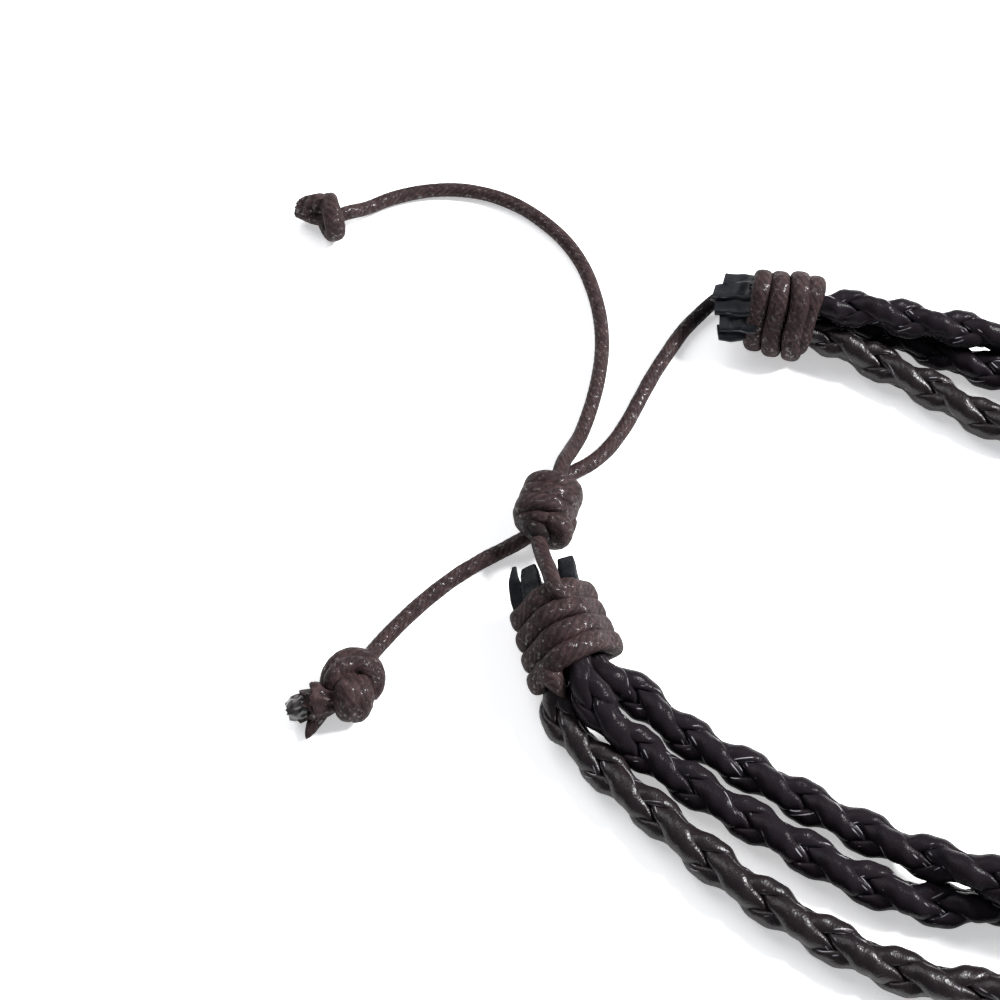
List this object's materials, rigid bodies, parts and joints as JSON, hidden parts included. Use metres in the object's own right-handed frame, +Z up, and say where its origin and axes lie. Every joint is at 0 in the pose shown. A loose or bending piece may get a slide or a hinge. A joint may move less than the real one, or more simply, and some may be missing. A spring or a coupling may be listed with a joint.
{
  "type": "braided leather bracelet",
  "caption": "Wrist bracelet of round braided leather cords side by side, whipped at both ends with waxed cord and closed by a sliding knot, lying flat.",
  "frame": {"origin": "on the surface that the bracelet lies on, under the middle of the box round its leather cords and whippings", "axes": "+Z up out of the surface and along the wrist, +X from the closure towards the far side of the loop, +Y from the near whipping's side to the far whipping's side"},
  "size_m": [0.1118, 0.0688, 0.0086],
  "materials": {
    "leather": "glossy, near-black brown",
    "waxed_cotton": "waxed, dark brown, slightly shiny"
  },
  "bodies": {
    "root": {"outer_strip_1": "leather", "outer_strip_2": "leather", "outer_strip_3": "leather", "outer_strip_4": "leather", "middle_strip_1": "leather", "middle_strip_2": "leather", "middle_strip_3": "leather", "middle_strip_4": "leather", "inner_strip_1": "leather", "inner_strip_2": "leather", "inner_strip_3": "leather", "inner_strip_4": "leather", "near_whipping": "waxed_cotton", "far_whipping": "waxed_cotton", "near_cord": "waxed_cotton", "far_cord": "waxed_cotton", "sliding_knot": "waxed_cotton", "near_end_knot": "waxed_cotton", "far_end_knot": "waxed_cotton"}
  },
  "joints": []
}
